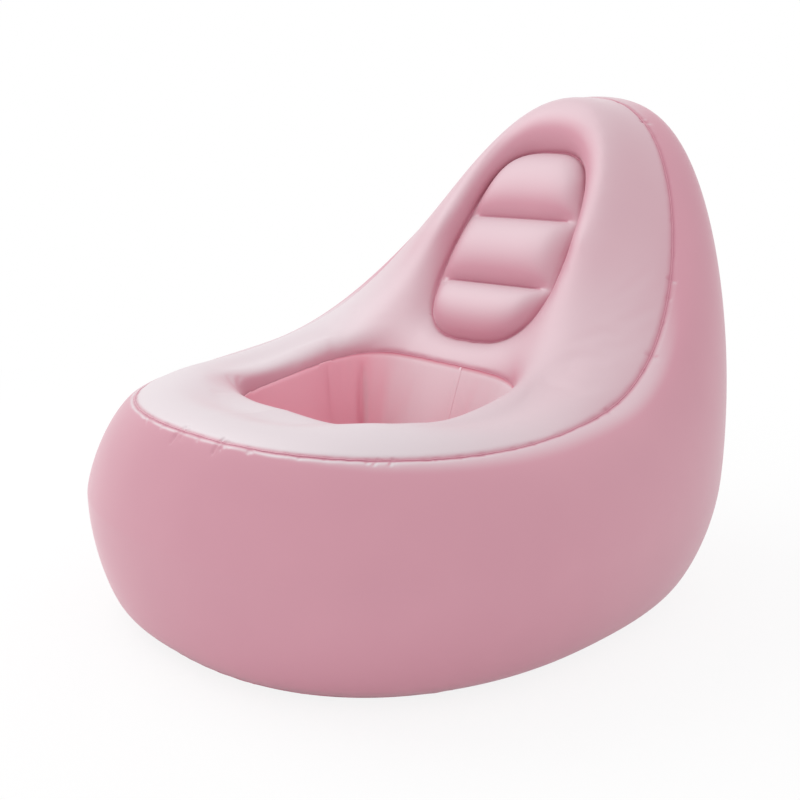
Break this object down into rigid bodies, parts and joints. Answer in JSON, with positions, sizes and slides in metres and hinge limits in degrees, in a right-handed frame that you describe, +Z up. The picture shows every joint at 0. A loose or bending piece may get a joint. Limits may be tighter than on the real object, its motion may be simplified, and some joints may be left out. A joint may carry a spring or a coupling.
{
  "type": "inflatable chair",
  "caption": "Pink inflatable chair: a ring-shaped air body with an open seat well, a reclined back with a recessed ribbed pad, and a two-stage air valve.",
  "frame": {"origin": "on the floor, under the middle of the bounding box", "axes": "+Z up, +Y towards the back of the chair, +X towards the sitter's left side when seated facing -Y"},
  "size_m": [0.88, 1.047, 0.7946],
  "materials": {
    "pink_vinyl_film": "satin",
    "pink_vinyl_weld": "satin",
    "clear_vinyl_film": "satin",
    "moulded_vinyl": "satin"
  },
  "bodies": {
    "chair_body": {"side_wall_panel": "pink_vinyl_film", "top_panel": "pink_vinyl_film", "base_panel": "pink_vinyl_film", "well_liner": "pink_vinyl_film", "back_pad_panel": "pink_vinyl_film", "pad_backing_sheet": "clear_vinyl_film", "top_seam_weld": "pink_vinyl_weld", "base_seam_weld": "pink_vinyl_weld", "rim_seam_weld": "pink_vinyl_weld", "well_foot_weld": "pink_vinyl_weld", "pad_border_weld": "pink_vinyl_weld", "upper_rib_weld": "pink_vinyl_weld", "lower_rib_weld": "pink_vinyl_weld", "side_wall_closing_weld": "pink_vinyl_weld", "well_liner_closing_weld": "pink_vinyl_weld", "valve_flange": "moulded_vinyl", "collar_hinge_web": "moulded_vinyl"},
    "collar": {"valve_collar": "moulded_vinyl", "cap_hinge_web": "moulded_vinyl", "flap_hinge_web": "clear_vinyl_film"},
    "cap": {"valve_cap": "moulded_vinyl"},
    "flap": {"valve_flap": "clear_vinyl_film"}
  },
  "joints": [
    {"name": "collar_hinge", "type": "hinge", "parent": "chair_body", "child": "collar", "pos_m": [0, 0.5205, 0.193], "axis": [-1, 0, 0], "range_deg": [0, 120]},
    {"name": "cap_hinge", "type": "hinge", "parent": "collar", "child": "cap", "pos_m": [0, 0.52235, 0.233], "axis": [1, 0, 0], "range_deg": [0, 150]},
    {"name": "flap_hinge", "type": "hinge", "parent": "collar", "child": "flap", "pos_m": [0, 0.50675, 0.2262], "axis": [-1, 0, 0], "range_deg": [0, 50], "stiffness_Nm_per_rad": 0.0001}
  ]
}
